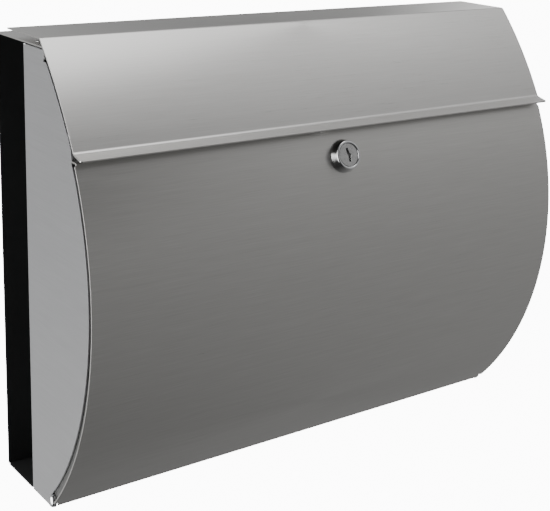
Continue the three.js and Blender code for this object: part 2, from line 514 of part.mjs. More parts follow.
// Cam: a flat arm that lies sideways when unlocked. A quarter turn brings it up behind the rail.
const CAM = { reach: 27, half: 6, hub: 7, corner: 3, from: -17.4, thick: 1.8 };
const camArm = new THREE.Shape();
camArm.absarc(0, 0, CAM.hub, Math.PI / 3, -Math.PI / 3, true);
camArm.lineTo(-CAM.reach + CAM.corner, -CAM.half);
camArm.lineTo(-CAM.reach, -CAM.half + CAM.corner);
camArm.lineTo(-CAM.reach, CAM.half - CAM.corner);
camArm.lineTo(-CAM.reach + CAM.corner, CAM.half);
const camHole = TAIL_SIDE + 2 * CLEARANCE;
const camPlate = new THREE.ExtrudeGeometry(camArm, { depth: CAM.thick, bevelEnabled: false })
  .rotateX(-Math.PI / 2).translate(0, CAM.from, 0);
piece('lock_cam', combine(camPlate, [], [new THREE.BoxGeometry(camHole, 4 * THROUGH, camHole)]), zinc, lock);
const screwSeat = TAIL_END - CLEARANCE;
const screwEnd = TAIL_END + SCREW.depth - 1;
piece('cam_screw', turnedSolid([
  [0, screwSeat - SCREW.headHeight], [SCREW.head * 0.75, screwSeat - SCREW.headHeight],
  [SCREW.head, screwSeat - SCREW.headHeight * 0.4], [SCREW.head, screwSeat],
  [SCREW.shank, screwSeat], [SCREW.shank, screwEnd], [0, screwEnd],
], 16), zinc, lock);

export default mailbox;
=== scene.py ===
# Wall mounted mailbox in brushed stainless steel on a black rear housing: a curved front door
# hinged at its bottom edge, a cam lock, and a lift-up flap over the mail slot.
# Shapes are drawn in millimetres. Heights on the box are measured from its bottom edge.
import math

import bmesh
import bpy
from mathutils import Matrix, Vector


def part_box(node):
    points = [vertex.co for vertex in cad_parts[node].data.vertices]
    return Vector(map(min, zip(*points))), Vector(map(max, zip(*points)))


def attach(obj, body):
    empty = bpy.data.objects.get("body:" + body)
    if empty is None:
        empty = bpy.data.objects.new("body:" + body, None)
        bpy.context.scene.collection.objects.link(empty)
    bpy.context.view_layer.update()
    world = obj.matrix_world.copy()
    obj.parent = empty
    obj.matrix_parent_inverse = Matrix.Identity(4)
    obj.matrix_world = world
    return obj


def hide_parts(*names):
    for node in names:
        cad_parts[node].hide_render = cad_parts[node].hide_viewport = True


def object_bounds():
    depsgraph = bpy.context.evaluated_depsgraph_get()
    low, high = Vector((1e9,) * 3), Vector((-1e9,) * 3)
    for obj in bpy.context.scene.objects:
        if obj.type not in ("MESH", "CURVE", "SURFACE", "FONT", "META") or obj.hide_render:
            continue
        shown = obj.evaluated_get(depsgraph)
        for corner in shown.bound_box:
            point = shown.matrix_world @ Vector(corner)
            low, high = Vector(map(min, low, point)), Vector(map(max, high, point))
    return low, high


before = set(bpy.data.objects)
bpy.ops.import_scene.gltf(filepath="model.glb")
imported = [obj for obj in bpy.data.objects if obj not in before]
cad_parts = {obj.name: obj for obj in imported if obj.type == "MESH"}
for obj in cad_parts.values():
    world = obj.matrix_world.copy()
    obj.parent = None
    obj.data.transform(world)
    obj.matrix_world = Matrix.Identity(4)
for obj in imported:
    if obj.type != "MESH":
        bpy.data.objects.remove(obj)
cad_box = [list(corner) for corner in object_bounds()]
scene = bpy.context.scene

# ---------------------------------------------------------------------------------------
# Camera: from the front left and a little above, at eye height for a box hung on a wall.
# The lens is shifted, which keeps the upright edges nearly upright.
SENSOR_WIDTH = 36.0
FOCAL_TO_FRAME_WIDTH = 2.1860
LENS_SHIFT = -0.1500
EYE = (-0.48437, -0.70740, 0.26068)
HEADING, LOOKING_DOWN, ROLL = -36.043, 14.750, 1.842
camera_data = bpy.data.cameras.new("camera")
camera_data.sensor_width = SENSOR_WIDTH
camera_data.lens = SENSOR_WIDTH * FOCAL_TO_FRAME_WIDTH
camera_data.shift_y = LENS_SHIFT


def placed(name, data):
    """An object for some data, in the scene."""
    placed_object = bpy.data.objects.new(name, data)
    scene.collection.objects.link(placed_object)
    return placed_object


camera = placed("camera", camera_data)
camera.matrix_world = (
    Matrix.Translation(EYE)
    @ Matrix.Rotation(math.radians(HEADING), 4, "Z")
    @ Matrix.Rotation(math.radians(90 - LOOKING_DOWN), 4, "X")
    @ Matrix.Rotation(math.radians(ROLL), 4, "Z")
)
scene.camera = camera

# ---------------------------------------------------------------------------------------
# Studio: a pale floor, far enough below the hung box for its open door to clear it, and a
# soft dome of light, brightest overhead and to the right, with bright cards and dark flags
# round it, so that the steel shows its curves.
world = bpy.data.worlds.new("studio")
scene.world = world
world.use_nodes = True
sky = world.node_tree
sky.nodes.clear()


def wire(tree, *pairs):
    """Joins each output socket to its input socket."""
    for source, target in pairs:
        tree.links.new(source, target)


def math_node(tree, operation, first, second=None):
    """A calculation on two values, each a socket or a number."""
    node = tree.nodes.new("ShaderNodeMath")
    node.operation = operation
    for socket, value in zip(node.inputs, (first, second)):
        if isinstance(value, bpy.types.NodeSocket):
            tree.links.new(value, socket)
        elif value is not None:
            socket.default_value = value
    return node.outputs[0]


def ramp_node(tree, factor, stops):
    """A colour ramp whose stops are (place, grey level or colour)."""
    node = tree.nodes.new("ShaderNodeValToRGB")
    elements = node.color_ramp.elements
    while len(elements) < len(stops):
        elements.new(0.5)
    for element, (place, level) in zip(elements, stops):
        element.position = place
        element.color = (*level, 1) if isinstance(level, tuple) else (level, level, level, 1)
    tree.links.new(factor, node.inputs[0])
    return node.outputs[0]


direction = sky.nodes.new("ShaderNodeTexCoord")
axes = sky.nodes.new("ShaderNodeSeparateXYZ")
wire(sky, (direction.outputs["Generated"], axes.inputs[0]))
east, north, up = axes.outputs
DOME_STRENGTH = 3.0


def product(first, second):
    return math_node(sky, "MULTIPLY", first, second)


def total(first, second):
    return math_node(sky, "ADD", first, second)


def share_of(value):
    """Brings a value from -1..1 to 0..1."""
    return total(product(value, 0.5), 0.5)


def toward(across, along):
    """How nearly a direction points along a level heading."""
    return total(product(east, across), product(north, along))


def aimed(across, along, upward):
    """How nearly a direction points along another."""
    return total(toward(across, along), product(up, upward))


height_share = share_of(up)
low_dome = [(0.10, 0.084), (0.16, 0.090), (0.375, 0.103), (0.60, 0.130), (0.66, 0.163), (0.75, 0.17)]
front_dome = ramp_node(sky, height_share, [*low_dome, (0.83, 0.25), (0.885, 0.30), (1.0, 0.34)])
rear_dome = ramp_node(sky, height_share, [*low_dome, (0.83, 0.26), (0.875, 0.17), (1.0, 0.15)])
rear_share = ramp_node(sky, share_of(north), [(0.42, 0.0), (0.58, 1.0)])
front_share = math_node(sky, "SUBTRACT", 1.0, rear_share)
dome = total(product(front_dome, front_share), product(rear_dome, rear_share))
side_fall = ramp_node(sky, share_of(east), [
    (0.30, 0.10), (0.5, 0.45), (0.60, 0.66), (0.70, 0.77), (0.785, 1.0), (0.86, 1.08)])

top_card = ramp_node(sky, aimed(0.33, -0.25, 0.91), [(0.95, 0.0), (0.992, 0.78)])
front_flag = ramp_node(sky, aimed(0.30, -0.86, 0.41), [(0.95, 0.0), (0.99, 0.095)])
rear_flag = ramp_node(sky, aimed(0.55, 0.80, 0.24), [(0.972, 0.0), (0.997, 0.075)])
lip_card = ramp_node(sky, aimed(0.34, 0.08, 0.935), [(0.97, 0.0), (0.992, 0.50)])
rear_lift = ramp_node(sky, height_share, [(0.22, 1.20), (0.32, 1.02), (0.375, 0.82), (0.43, 0.94)])
rear_card = product(rear_lift, ramp_node(sky, toward(-0.6, 0.8), [(0.2, 0.0), (0.85, 0.165)]))
right_card = ramp_node(sky, toward(0.85, 0.52), [(0.94, 0.0), (0.985, 1.25)])
tall = product(product(up, up), 0.35)
left_card = ramp_node(sky, total(toward(-0.99, 0.13), tall), [(0.88, 0.0), (0.95, 1.7)])
glow = product(dome, side_fall)
for dark_flag in (front_flag, rear_flag):
    glow = math_node(sky, "SUBTRACT", glow, dark_flag)
for card in (top_card, rear_card, right_card, left_card, lip_card):
    glow = total(glow, card)
background = sky.nodes.new("ShaderNodeBackground")
background.inputs["Strength"].default_value = DOME_STRENGTH
sky_output = sky.nodes.new("ShaderNodeOutputWorld")
wire(sky, (glow, background.inputs["Color"]), (background.outputs[0], sky_output.inputs["Surface"]))

FLOOR_HALF = 40.0
FLOOR_DROP = 0.32
floor_mesh = bpy.data.meshes.new("floor")
floor_z = cad_box[0][2] - FLOOR_DROP
floor_mesh.from_pydata(
    [(-FLOOR_HALF, -FLOOR_HALF, floor_z), (FLOOR_HALF, -FLOOR_HALF, floor_z),
     (FLOOR_HALF, FLOOR_HALF, floor_z), (-FLOOR_HALF, FLOOR_HALF, floor_z)], [], [(0, 1, 2, 3)])
floor_paint = bpy.data.materials.new("floor_paint")
floor_paint.use_nodes = True
floor_shader = floor_paint.node_tree.nodes["Principled BSDF"]
floor_shader.inputs["Base Color"].default_value = (0.9, 0.9, 0.9, 1)
floor_shader.inputs["Roughness"].default_value = 0.9
floor_shader.inputs["Emission Color"].default_value = (1, 1, 1, 1)
floor_shader.inputs["Emission Strength"].default_value = 11.0
floor_mesh.materials.append(floor_paint)
BACKDROP_RADIUS = 30.0
backdrop_shape = bmesh.new()
bmesh.ops.create_uvsphere(backdrop_shape, u_segments=48, v_segments=24, radius=BACKDROP_RADIUS)
bmesh.ops.reverse_faces(backdrop_shape, faces=backdrop_shape.faces[:])
backdrop_mesh = bpy.data.meshes.new("backdrop")
backdrop_shape.to_mesh(backdrop_mesh)
backdrop_shape.free()
backdrop_mesh.materials.append(floor_paint)
for stage_piece in (placed("floor", floor_mesh), placed("backdrop", backdrop_mesh)):
    stage_piece.visible_glossy = False
    stage_piece.visible_diffuse = False
    stage_piece.visible_shadow = False

# ---------------------------------------------------------------------------------------
# Black rear housing: cold-rolled sheet steel, cut, folded on a brake and powder coated. The
# back panel carries the four wall-screw holes, the floor has drain holes and an upstand, and
# the two sides are Z sections set in from the edge, which leaves an open recess at each side.
MM = 0.001
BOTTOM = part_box("back_panel")[0].z / MM
HALF_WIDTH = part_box("back_panel")[1].x / MM
SIDE_HEIGHT = 296
CUT_EDGE = 0.14


class BentLine:
    """The line that a folded sheet's outer face follows, seen from its end. Each corner is
    (a, b) or (a, b, bend radius)."""

    def __init__(self, corners):
        points = [Vector(corners[0][:2])]
        for before, corner, after in zip(corners, corners[1:], corners[2:]):
            here = Vector(corner[:2])
            radius = corner[2] if len(corner) > 2 else 0
            if radius:
                points += self.bend(Vector(before[:2]), here, Vector(after[:2]), radius)
            else:
                points.append(here)
        points.append(Vector(corners[-1][:2]))
        self.points = points
        self.stations = [0.0]
        for start, stop in zip(points, points[1:]):
            self.stations.append(self.stations[-1] + (stop - start).length)
        runs = [(stop - start).normalized() for start, stop in zip(points, points[1:])]
        sides = [Vector((-run.y, run.x)) for run in runs]
        self.outward = []
        for first, second in zip([sides[0], *sides], [*sides, sides[-1]]):
            self.outward.append((first + second) / (1 + first.dot(second)))

    @staticmethod
    def bend(before, corner, after, radius, steps=8):
        arriving = (corner - before).normalized()
        leaving = (after - corner).normalized()
        turn = arriving.angle(leaving)
        setback = radius * math.tan(turn / 2)
        toward = (leaving - arriving).normalized()
        centre = corner + toward * (radius / math.cos(turn / 2))
        spoke = corner - arriving * setback - centre
        way = 1 if arriving.x * leaving.y - arriving.y * leaving.x > 0 else -1
        return [centre + Matrix.Rotation(way * turn * step / steps, 2) @ spoke
                for step in range(steps + 1)]

    def place(self, station, depth):
        """The point at a distance along the outer face and a depth (below 0) under it."""
        index = 0
        while index < len(self.stations) - 2 and station > self.stations[index + 1]:
            index += 1
        start, stop = self.stations[index], self.stations[index + 1]
        share = (station - start) / (stop - start)
        here = self.points[index] + self.outward[index] * depth
        there = self.points[index + 1] + self.outward[index + 1] * depth
        return here.lerp(there, share)

    def station(self, axis, value, last=True):
        """Distance along the line to where a coordinate has a value, on its last run by default."""
        order = range(len(self.points) - 1)
        for index in reversed(order) if last else order:
            a, b = self.points[index][axis], self.points[index + 1][axis]
            if min(a, b) - 1e-6 <= value <= max(a, b) + 1e-6 and abs(b - a) > 1e-9:
                share = (value - a) / (b - a)
                return self.stations[index] + share * (self.stations[index + 1] - self.stations[index])
        raise ValueError(f"the line never reaches {value}")

    @property
    def length(self):
        return self.stations[-1]


def arc(centre, radius, start, stop, steps):
    """Points on a circle between two angles in degrees."""
    angles = [math.radians(start + (stop - start) * step / steps) for step in range(steps + 1)]
    return [(centre[0] + radius * math.cos(t), centre[1] + radius * math.sin(t)) for t in angles]


def hole(across, along, radius, steps=32):
    return arc((across, along), radius, 0, 360 * (steps - 1) / steps, steps - 1)


def rounded_outline(corners, radius, steps=6):
    """A closed outline whose corners are (a, b) or (a, b, radius)."""
    outline = []
    count = len(corners)
    for index, corner in enumerate(corners):
        before, after = corners[index - 1], corners[(index + 1) % count]
        size = corner[2] if len(corner) > 2 else radius
        if size:
            outline += [tuple(p) for p in BentLine.bend(
                Vector(before[:2]), Vector(corner[:2]), Vector(after[:2]), size, steps)]
        else:
            outline.append(tuple(corner[:2]))
    return outline


def rectangle(a_low, a_high, b_low, b_high):
    return [(a_low, b_low), (a_high, b_low), (a_high, b_high), (a_low, b_high)]


def flat_blank(outlines, thickness, edge=CUT_EDGE):
    """A flat cut sheet as a closed mesh: its outline and its holes, with eased edges. Its outer
    face is at 0 and its inner face below."""
    blank = bmesh.new()
    for outline in outlines:
        ring = [blank.verts.new((a, b, 0)) for a, b in outline]
        for first, second in zip(ring, ring[1:] + ring[:1]):
            blank.edges.new((first, second))
    bmesh.ops.triangle_fill(blank, use_beauty=True, use_dissolve=False, edges=blank.edges[:])
    for face in blank.faces:
        if face.normal.z < 0:
            face.normal_flip()
    top = blank.faces[:]
    rims = [rim.link_loops[0] for rim in blank.edges if len(rim.link_faces) == 1]
    rims = [(loop.vert, loop.link_loop_next.vert) for loop in rims]
    under = {vert: blank.verts.new((vert.co.x, vert.co.y, -thickness)) for vert in blank.verts[:]}
    for face in top:
        blank.faces.new([under[vert] for vert in reversed(face.verts)])
    for first, second in rims:
        blank.faces.new([second, first, under[first], under[second]])
    blank.normal_update()
    bmesh.ops.dissolve_limit(blank, angle_limit=0.002, verts=[], edges=blank.edges[:])
    cut_edges = [e for e in blank.edges
                 if len(e.link_faces) == 2 and abs(e.verts[0].co.z - e.verts[1].co.z) < 1e-6
                 and e.calc_face_angle(0) > 1]
    if edge:
        bmesh.ops.bevel(blank, geom=cut_edges, offset=edge, segments=3, profile=0.5,
                        affect="EDGES", clamp_overlap=True)
    bmesh.ops.triangulate(blank, faces=blank.faces[:])
    return blank


def keep_flat_places(blank, across=0, along=1):
    """Keeps the flat sheet's places as its UV map. The brushing runs along the first axis."""
    layer = blank.loops.layers.uv.new("sheet")
    for face in blank.faces:
        for loop in face.loops:
            loop[layer].uv = (loop.vert.co[across] * MM, loop.vert.co[along] * MM)


def score(blank, stations, axis=1):
    """Cuts the mesh across at each station, so that it can bend there."""
    normal = [0, 0, 0]
    normal[axis] = 1
    for station in stations:
        point = [0, 0, 0]
        point[axis] = station
        geometry = blank.verts[:] + blank.edges[:] + blank.faces[:]
        bmesh.ops.bisect_plane(blank, geom=geometry, dist=1e-5, plane_co=point, plane_no=normal)


def fold_across_x(blank, line):
    """Folds a sheet whose bends run across the box."""
    score(blank, line.stations[1:-1])
    for vert in blank.verts:
        x, along, depth = vert.co
        vert.co = (x, *line.place(along, depth))


def fold_across_z(blank, line):
    """Folds a sheet whose bends run upright."""
    score(blank, line.stations[1:-1])
    for vert in blank.verts:
        height, along, depth = vert.co
        vert.co = (*line.place(along, depth), height)


def mirror_in_x(blank):
    for vert in blank.verts:
        vert.co.x = -vert.co.x
    bmesh.ops.reverse_faces(blank, faces=blank.faces[:])


SMOOTH_BELOW = math.radians(38)


def as_piece(name, shape, material, body, nodes):
    """Turns a shape in millimetres into a finished piece in place, smooth where it is rounded."""
    for vert in shape.verts:
        vert.co = Vector((vert.co.x * MM, vert.co.y * MM, (vert.co.z + BOTTOM) * MM))
    for face in shape.faces:
        face.smooth = True
    mesh = bpy.data.meshes.new(name)
    shape.to_mesh(mesh)
    shape.free()
    mesh.set_sharp_from_angle(angle=SMOOTH_BELOW)
    mesh.materials.append(material)
    piece = placed(name, mesh)
    weighted = piece.modifiers.new("even_shading", "WEIGHTED_NORMAL")
    weighted.keep_sharp = True
    settle(piece)
    return fasten(piece, body, nodes)


def settle(piece):
    """Replaces a piece's mesh by the mesh that its modifiers make, and removes them."""
    evaluated = piece.evaluated_get(bpy.context.evaluated_depsgraph_get())
    mesh = bpy.data.meshes.new_from_object(evaluated)
    piece.modifiers.clear()
    old = piece.data
    piece.data = mesh
    bpy.data.meshes.remove(old)
    mesh.name = piece.name


def fasten(piece, body, nodes):
    """Says which body moves the piece and the nodes it stands for."""
    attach(piece, body)
    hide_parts(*nodes)
    return piece


def noise_node(tree, coordinates, scale, stretch=(1, 1, 1), detail=3.0, roughness=0.55):
    """Noise on stretched coordinates."""
    mapping = tree.nodes.new("ShaderNodeMapping")
    mapping.inputs["Scale"].default_value = stretch
    noise = tree.nodes.new("ShaderNodeTexNoise")
    noise.inputs["Scale"].default_value = scale
    noise.inputs["Detail"].default_value = detail
    noise.inputs["Roughness"].default_value = roughness
    wire(tree, (coordinates, mapping.inputs["Vector"]), (mapping.outputs[0], noise.inputs["Vector"]))
    return noise.outputs[0]


def bump_node(tree, height, strength, distance):
    bump = tree.nodes.new("ShaderNodeBump")
    bump.inputs["Strength"].default_value = strength
    bump.inputs["Distance"].default_value = distance
    wire(tree, (height, bump.inputs["Height"]))
    return bump.outputs[0]


def new_finish(name):
    material = bpy.data.materials.new(name)
    material.use_nodes = True
    tree = material.node_tree
    shader = tree.nodes["Principled BSDF"]
    places = tree.nodes.new("ShaderNodeTexCoord")
    return material, tree, shader, places


def grained_finish(name, grain, colours, roughness, bump, tint=None, metallic=1.0, specular=0.5):
    """A finish whose grain shows in its roughness and height. A slower noise, if given, changes
    its colour. Each noise is (scale, detail), and the bump is (strength, distance)."""
    material, tree, shader, places = new_finish(name)
    fine = noise_node(tree, places.outputs["Object"], grain[0], detail=grain[1])
    slow = noise_node(tree, places.outputs["Object"], tint[0], detail=tint[1]) if tint else fine
    wire(tree, (ramp_node(tree, slow, colours), shader.inputs["Base Color"]),
         (ramp_node(tree, fine, roughness), shader.inputs["Roughness"]),
         (bump_node(tree, fine, *bump), shader.inputs["Normal"]))
    shader.inputs["Metallic"].default_value = metallic
    shader.inputs["Specular IOR Level"].default_value = specular
    return material


powder_coat = grained_finish(
    "black_powder_coat", (900, 2.0), [(0.3, (0.030, 0.031, 0.031)), (0.75, (0.040, 0.041, 0.041))],
    [(0.3, 0.42), (0.7, 0.56)], (0.35, 0.00012), tint=(14, 4.0), metallic=0.0, specular=0.25)

BLACK_STEEL = 1.2
WALL_HOLES = [(x, height) for x in (-130, 130) for height in (42, 254)]
WALL_HOLE_RADIUS = 3.5
back_outline = rounded_outline(rectangle(-HALF_WIDTH, HALF_WIDTH, 0, SIDE_HEIGHT), 1.5)
back = flat_blank([back_outline, *[hole(x, z, WALL_HOLE_RADIUS) for x, z in WALL_HOLES]], BLACK_STEEL)
keep_flat_places(back)
fold_across_x(back, BentLine([(-BLACK_STEEL, 0), (-BLACK_STEEL, SIDE_HEIGHT)]))
as_piece("housing_back", back, powder_coat, "box", ["back_panel"])

CLEARANCE = 0.3
STEEL = 1.0
RECESS_DEPTH = 39
FLOOR_FRONT = -62
FLOOR_UPSTAND = 9
SHEET_BEND = 1.8
floor_rear = -BLACK_STEEL - CLEARANCE
floor_half = HALF_WIDTH - STEEL - CLEARANCE
floor_line = BentLine([(floor_rear, 0), (FLOOR_FRONT, 0, SHEET_BEND), (FLOOR_FRONT, FLOOR_UPSTAND)])
step_station = floor_line.station(0, -RECESS_DEPTH + CLEARANCE, last=False)
floor_outline = rounded_outline([
    (-HALF_WIDTH, 0), (HALF_WIDTH, 0), (HALF_WIDTH, step_station), (floor_half, step_station, 0),
    (floor_half, floor_line.length), (-floor_half, floor_line.length),
    (-floor_half, step_station, 0), (-HALF_WIDTH, step_station)], 1.0)
drain_station = floor_line.station(0, -22, last=False)
drains = [hole(x, drain_station, 2.5) for x in (-120, -60, 60, 120)]
housing_floor = flat_blank([floor_outline, *drains], BLACK_STEEL)
keep_flat_places(housing_floor)
fold_across_x(housing_floor, floor_line)
as_piece("housing_floor", housing_floor, powder_coat, "box", ["floor_panel"])

RECESS_INSET = 24
REAR_TAB, FRONT_TAB = 12, 20
RIVET_HOLE = 1.5
SIDE_RIVET_X = HALF_WIDTH - 12
SIDE_RIVET_HEIGHTS = (40, 148, 256)
housing_wall = HALF_WIDTH - RECESS_INSET
tab_face = -RECESS_DEPTH - STEEL - CLEARANCE
z_section = BentLine([
    (housing_wall - REAR_TAB, floor_rear), (housing_wall, floor_rear, SHEET_BEND),
    (housing_wall, tab_face, 0.8), (housing_wall + FRONT_TAB, tab_face)])
rivet_station = z_section.station(0, SIDE_RIVET_X)
wall_low, wall_high = BLACK_STEEL + CLEARANCE, SIDE_HEIGHT - STEEL
for label in ("left", "right"):
    wall_outline = rounded_outline(rectangle(wall_low, wall_high, 0, z_section.length), 1.0)
    wall = flat_blank(
        [wall_outline, *[hole(z, rivet_station, RIVET_HOLE) for z in SIDE_RIVET_HEIGHTS]], BLACK_STEEL)
    keep_flat_places(wall)
    fold_across_z(wall, z_section)
    if label == "left":
        mirror_in_x(wall)
    as_piece(f"housing_wall_{label}", wall, powder_coat, "box",
             [f"housing_side_{label}"])

# ---------------------------------------------------------------------------------------
# Side panels: 1 mm stainless sheet, brushed before it is cut, with a round front edge, an ear
# for the door's pivot, and flanges folded inwards at the rear and along the top.
def brushed_finish(name, light, dark, rough, streaks=1.0):
    """Stainless sheet brushed along the U axis of the flat blank."""
    material, tree, shader, places = new_finish(name)
    flat = places.outputs["UV"]
    fine = noise_node(tree, flat, 1.0, (34, 2600, 1), detail=3.0)
    coarse = noise_node(tree, flat, 1.0, (7, 420, 1), detail=4.0, roughness=0.6)
    handling = noise_node(tree, flat, 11.0, detail=3.0)
    mix = math_node(tree, "ADD", math_node(tree, "MULTIPLY", fine, 0.72),
                    math_node(tree, "MULTIPLY", coarse, 0.28))
    wire(tree, (ramp_node(tree, mix, [(0.36, dark), (0.64, light)]), shader.inputs["Base Color"]))
    worn = math_node(tree, "ADD", math_node(tree, "MULTIPLY", mix, 0.16 * streaks),
                     math_node(tree, "MULTIPLY", handling, 0.05))
    wire(tree, (math_node(tree, "ADD", worn, rough - 0.105), shader.inputs["Roughness"]),
         (bump_node(tree, mix, 0.22 * streaks, 0.00006), shader.inputs["Normal"]))
    shader.inputs["Metallic"].default_value = 1.0
    shader.inputs["Anisotropic"].default_value = 0.45
    shader.inputs["Anisotropic Rotation"].default_value = 0.25
    return material


# Painted shade: the door flanges' steel gets a darkened base colour that stands in for the shade in the
# groove between side panel and door.
painted_shade_steel = brushed_finish("flange_steel_painted_shade", (0.23, 0.23, 0.227), (0.19, 0.19, 0.187), 0.50, 0.5)
side_steel = brushed_finish("brushed_side_steel", (0.64, 0.645, 0.655), (0.58, 0.585, 0.595), 0.34)

FRONT_ARC = (82.2, 147.7)
SIDE_EDGE_RADIUS = 204.5
PIVOT = (-69.5, 5.5)
EAR_RADIUS = 4.5
SIDE_FLANGE = 22
TOP_FLANGE = 12
ROOF_FRONT = -69
ROOF_RIVET_X = HALF_WIDTH - 7
ROOF_RIVET_Y = (-48, -60)
PIVOT_HOLE = 2.05
EDGE_BEND = 1.6
TOP_LINE_FOOT = -10
top_front = ROOF_FRONT + STEEL + CLEARANCE
top_rear = tab_face - BLACK_STEEL - CLEARANCE


def front_y(radius, height, centre=FRONT_ARC):
    """Where a circle about the front's axis passes a height, on its front side."""
    return centre[0] - math.sqrt(radius ** 2 - (height - centre[1]) ** 2)


side_line = BentLine([
    (HALF_WIDTH - SIDE_FLANGE, -RECESS_DEPTH), (HALF_WIDTH, -RECESS_DEPTH, EDGE_BEND),
    (HALF_WIDTH, -140)])
top_line = BentLine([
    (TOP_LINE_FOOT, HALF_WIDTH), (SIDE_HEIGHT, HALF_WIDTH, EDGE_BEND),
    (SIDE_HEIGHT, HALF_WIDTH - TOP_FLANGE)])
flange_foot = side_line.station(1, -RECESS_DEPTH - 2 * EDGE_BEND)
FLAP_ARC = (138.8, 113.3)
FLAP_RADIUS = 280
SLOT_EDGE_RADIUS = FLAP_RADIUS - 6.5
SLOT_EDGE_LOW, SLOT_EDGE_HIGH = 243, 289
SIDE_ARC_TOP = 235
edge_low = PIVOT[1] + EAR_RADIUS + 1
flange_end = top_line.length + TOP_LINE_FOOT
rivet_height = top_line.station(1, ROOF_RIVET_X) + TOP_LINE_FOOT
front_edge = [(edge_low + (SIDE_ARC_TOP - edge_low) * step / 60) for step in range(61)]
slot_edge = [(SLOT_EDGE_LOW + (SLOT_EDGE_HIGH - SLOT_EDGE_LOW) * step / 16) for step in range(17)]
ear = arc(PIVOT, EAR_RADIUS, -60, -270, 20)


def on_plate(y, z):
    """Where a place on the upright plate lies on the flat blank."""
    return (z, side_line.station(1, y))


for label in ("left", "right"):
    side_outline = [
        (wall_low, 0), (wall_low, flange_foot - EDGE_BEND), (0, flange_foot - EDGE_BEND),
        on_plate(PIVOT[0] + EAR_RADIUS / 2 + 1, 0), *[on_plate(y, z) for y, z in ear],
        *[on_plate(front_y(SIDE_EDGE_RADIUS, z), z) for z in front_edge],
        *[on_plate(front_y(SLOT_EDGE_RADIUS, z, FLAP_ARC), z) for z in slot_edge],
        on_plate(top_front, SLOT_EDGE_HIGH), on_plate(top_front, SIDE_HEIGHT - 0.5),
        (flange_end, on_plate(top_front, 0)[1] - 1),
        (flange_end, on_plate(top_rear, 0)[1]), (SIDE_HEIGHT, on_plate(top_rear, 0)[1]),
        (SIDE_HEIGHT, flange_foot - EDGE_BEND), (wall_high, flange_foot - EDGE_BEND), (wall_high, 0)]
    side_holes = [hole(z, SIDE_FLANGE - 12, RIVET_HOLE) for z in SIDE_RIVET_HEIGHTS]
    pivot_place = on_plate(*PIVOT)
    top_holes = [hole(rivet_height, on_plate(y, 0)[1], RIVET_HOLE) for y in ROOF_RIVET_Y]
    side = flat_blank(
        [side_outline, *side_holes, hole(*pivot_place, PIVOT_HOLE), *top_holes], STEEL)
    keep_flat_places(side, across=1, along=0)
    fold_across_z(side, side_line)
    score(side, [station + TOP_LINE_FOOT for station in top_line.stations[1:-1]], axis=2)
    for vert in side.verts:
        if vert.co.y < top_rear + 0.5:
            height, x = top_line.place(vert.co.z - TOP_LINE_FOOT, vert.co.x - HALF_WIDTH)
            vert.co = (x, vert.co.y, height)
    if label == "left":
        mirror_in_x(side)
    as_piece(f"cheek_{label}", side, side_steel, "box", [f"side_panel_{label}"])

# ---------------------------------------------------------------------------------------
# Roof: a stainless sheet, brushed along its width and folded down along its front edge. It lies
# on the side panels' top flanges, with two rivets at each side.
flap_steel = brushed_finish("brushed_flap_steel", (0.655, 0.648, 0.635), (0.595, 0.588, 0.575), 0.30)
ROOF_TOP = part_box("roof_panel")[1].z / MM - BOTTOM
ROOF_DOWNTURN = 7.7
FLAP_HINGE_X = 103
LEAF_RIVET_X = 4.5
LEAF_RIVET_Y = -32
roof_line = BentLine([
    (ROOF_FRONT, ROOF_TOP - ROOF_DOWNTURN), (ROOF_FRONT, ROOF_TOP, SHEET_BEND), (0, ROOF_TOP)])
roof_outline = rounded_outline(rectangle(-HALF_WIDTH, HALF_WIDTH, 0, roof_line.length), 1.0)
roof_rivets = [(side * ROOF_RIVET_X, y) for side in (-1, 1) for y in ROOF_RIVET_Y]
leaf_rivets = [(side * FLAP_HINGE_X + offset, LEAF_RIVET_Y)
               for side in (-1, 1) for offset in (-LEAF_RIVET_X, LEAF_RIVET_X)]
roof_holes = [hole(x, roof_line.station(0, y), RIVET_HOLE) for x, y in roof_rivets + leaf_rivets]
roof = flat_blank([roof_outline, *roof_holes], STEEL)
keep_flat_places(roof)
fold_across_x(roof, roof_line)
as_piece("roof_sheet", roof, flap_steel, "box", ["roof_panel"])

# ---------------------------------------------------------------------------------------
# Flap hinges: a short stainless leaf riveted to the roof, its rear edge rolled into a knuckle
# round a plain zinc-plated pin. The flap's own rolled tabs turn on the pin's two ends.
KNUCKLE_RADIUS = 2.2
KNUCKLE_SHEET = 0.9
KNUCKLE_HALF = 8.4
HINGE_AXIS = (-22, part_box("flap_panel")[1].z / MM - BOTTOM - KNUCKLE_RADIUS)
LEAF_FRONT = -38
leaf_under = ROOF_TOP + CLEARANCE
leaf_line = BentLine([
    *arc(HINGE_AXIS, KNUCKLE_RADIUS, 215, -90, 40), (HINGE_AXIS[0] - 1.6, leaf_under + 0.55),
    (HINGE_AXIS[0] - 3.6, leaf_under), (LEAF_FRONT, leaf_under)])
leaf_station = leaf_line.station(0, LEAF_RIVET_Y)
for label, side in (("left", -1), ("right", 1)):
    middle = side * FLAP_HINGE_X
    leaf_outline = rounded_outline([
        (middle - KNUCKLE_HALF, 0, 0.4), (middle + KNUCKLE_HALF, 0, 0.4),
        (middle + KNUCKLE_HALF, leaf_line.length), (middle - KNUCKLE_HALF, leaf_line.length)], 2.5)
    leaf_holes = [hole(middle + offset, leaf_station, RIVET_HOLE)
                  for offset in (-LEAF_RIVET_X, LEAF_RIVET_X)]
    leaf = flat_blank([leaf_outline, *leaf_holes], KNUCKLE_SHEET)
    keep_flat_places(leaf)
    fold_across_x(leaf, leaf_line)
    as_piece(f"hinge_plate_{label}", leaf, flap_steel, "box", [f"hinge_leaf_{label}"])


